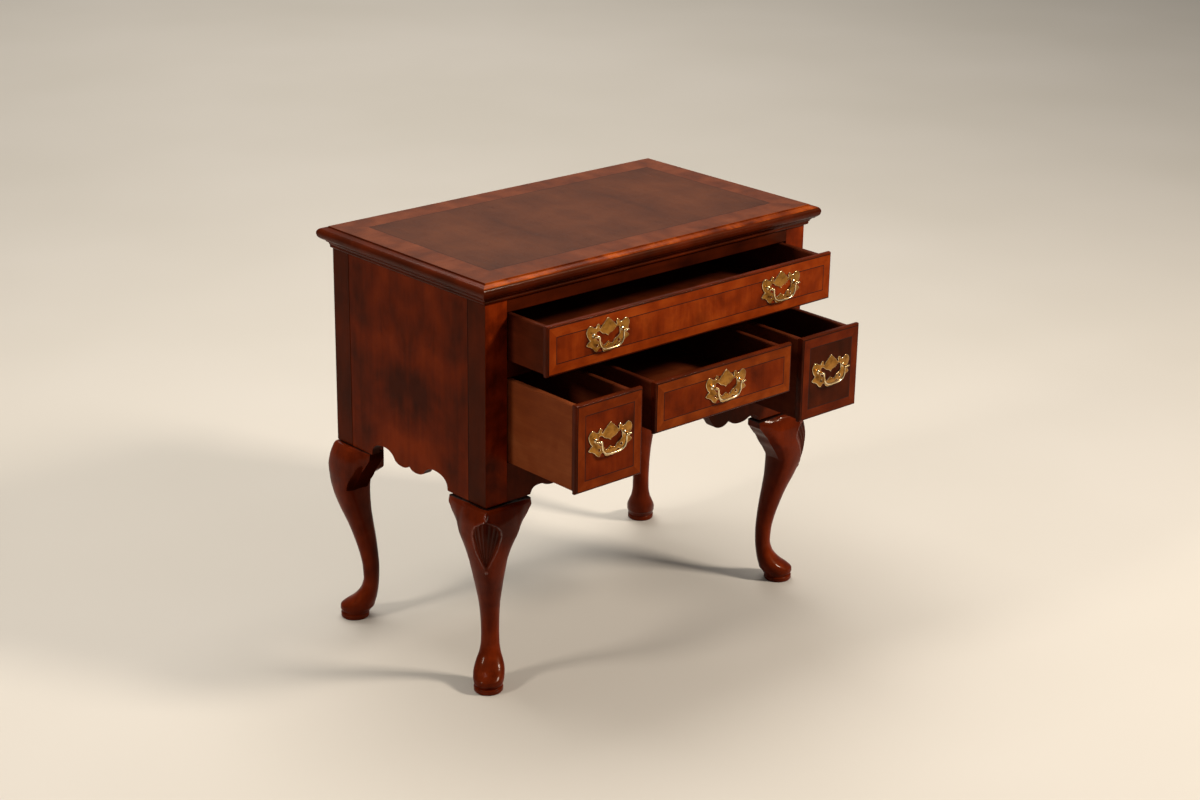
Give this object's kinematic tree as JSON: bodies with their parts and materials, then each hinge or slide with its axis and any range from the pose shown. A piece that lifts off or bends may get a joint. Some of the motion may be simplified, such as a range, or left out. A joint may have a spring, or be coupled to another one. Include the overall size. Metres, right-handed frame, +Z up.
{
  "type": "lowboy",
  "caption": "Small chest on cabriole legs: long drawer over a deep, shallow and deep drawer, scalloped apron, moulded crossbanded top, brass batwing pulls with swinging bails",
  "frame": {"origin": "on the floor, under the middle of the whole outline with the drawers drawn out as in the picture", "axes": "+X to the right as seen from the front, -Y to the front, +Z up through the top surface"},
  "size_m": [0.755, 0.608, 0.7112],
  "materials": {
    "burl_top": "satin lacquer over mottled walnut veneer, with a crossbanded border and a dark string line",
    "side_veneer": "satin lacquer over mottled walnut veneer",
    "front_veneer": "satin lacquer over mottled walnut veneer",
    "walnut_trim": "satin lacquer",
    "leg_walnut": "glossy lacquer, carved at the front knees",
    "drawer_sides": "thin matt finish",
    "drawer_bottoms": "thin matt finish",
    "rough_wood": "bare",
    "brass": "aged, polished on the raised edges"
  },
  "bodies": {
    "case": {"top_board": "burl_top", "bed_moulding_front": "walnut_trim", "bed_moulding_left": "walnut_trim", "bed_moulding_right": "walnut_trim", "front_post_left": "walnut_trim", "front_post_right": "walnut_trim", "rear_post_left": "walnut_trim", "rear_post_right": "walnut_trim", "side_panel_left": "side_veneer", "side_panel_right": "side_veneer", "back_panel": "rough_wood", "top_rail": "front_veneer", "middle_rail": "front_veneer", "divider_left": "walnut_trim", "divider_right": "walnut_trim", "front_apron": "front_veneer", "long_drawer_runners": "rough_wood", "left_drawer_runner": "rough_wood", "right_drawer_runner": "rough_wood", "drawer_kicker": "rough_wood", "leg_front_left": "leg_walnut", "leg_front_right": "leg_walnut", "leg_rear_left": "leg_walnut", "leg_rear_right": "leg_walnut", "knee_block_front_left_side": "leg_walnut", "knee_block_front_left_front": "leg_walnut", "knee_block_front_right_side": "leg_walnut", "knee_block_front_right_front": "leg_walnut", "knee_block_rear_left_side": "leg_walnut", "knee_block_rear_right_side": "leg_walnut"},
    "long_drawer": {"long_drawer_front": "front_veneer", "long_drawer_side_left": "drawer_sides", "long_drawer_side_right": "drawer_sides", "long_drawer_back": "drawer_sides", "long_drawer_bottom": "drawer_bottoms", "long_drawer_plate_left": "brass", "long_drawer_plate_right": "brass"},
    "long_drawer_handle_left": {"long_drawer_bail_left": "brass"},
    "long_drawer_handle_right": {"long_drawer_bail_right": "brass"},
    "left_drawer": {"left_drawer_front": "front_veneer", "left_drawer_side_left": "drawer_sides", "left_drawer_side_right": "drawer_sides", "left_drawer_back": "drawer_sides", "left_drawer_bottom": "drawer_bottoms", "left_drawer_plate": "brass"},
    "left_drawer_handle": {"left_drawer_bail": "brass"},
    "centre_drawer": {"centre_drawer_front": "front_veneer", "centre_drawer_side_left": "drawer_sides", "centre_drawer_side_right": "drawer_sides", "centre_drawer_back": "drawer_sides", "centre_drawer_bottom": "drawer_bottoms", "centre_drawer_plate": "brass"},
    "centre_drawer_handle": {"centre_drawer_bail": "brass"},
    "right_drawer": {"right_drawer_front": "front_veneer", "right_drawer_side_left": "drawer_sides", "right_drawer_side_right": "drawer_sides", "right_drawer_back": "drawer_sides", "right_drawer_bottom": "drawer_bottoms", "right_drawer_plate": "brass"},
    "right_drawer_handle": {"right_drawer_bail": "brass"}
  },
  "joints": [
    {"name": "long_drawer_slide", "type": "slide", "parent": "case", "child": "long_drawer", "axis": [0, -1, 0], "range_m": [-0.0939, 0.1861]},
    {"name": "left_drawer_slide", "type": "slide", "parent": "case", "child": "left_drawer", "axis": [0, -1, 0], "range_m": [-0.1632, 0.1168]},
    {"name": "centre_drawer_slide", "type": "slide", "parent": "case", "child": "centre_drawer", "axis": [0, -1, 0], "range_m": [-0.1648, 0.1152]},
    {"name": "right_drawer_slide", "type": "slide", "parent": "case", "child": "right_drawer", "axis": [0, -1, 0], "range_m": [-0.1655, 0.1145]},
    {"name": "long_drawer_bail_left_hinge", "type": "hinge", "parent": "long_drawer", "child": "long_drawer_handle_left", "pos_m": [-0.1945, -0.2294, 0.62233], "axis": [-1, 0, 0], "range_deg": [-12, 150]},
    {"name": "long_drawer_bail_right_hinge", "type": "hinge", "parent": "long_drawer", "child": "long_drawer_handle_right", "pos_m": [0.1945, -0.2294, 0.62233], "axis": [-1, 0, 0], "range_deg": [-12, 150]},
    {"name": "left_drawer_bail_hinge", "type": "hinge", "parent": "left_drawer", "child": "left_drawer_handle", "pos_m": [-0.24925, -0.2987, 0.48133], "axis": [-1, 0, 0], "range_deg": [-12, 150]},
    {"name": "centre_drawer_bail_hinge", "type": "hinge", "parent": "centre_drawer", "child": "centre_drawer_handle", "pos_m": [0, -0.3003, 0.51159], "axis": [-1, 0, 0], "range_deg": [-12, 150]},
    {"name": "right_drawer_bail_hinge", "type": "hinge", "parent": "right_drawer", "child": "right_drawer_handle", "pos_m": [0.24925, -0.301, 0.48133], "axis": [-1, 0, 0], "range_deg": [-12, 150]}
  ]
}
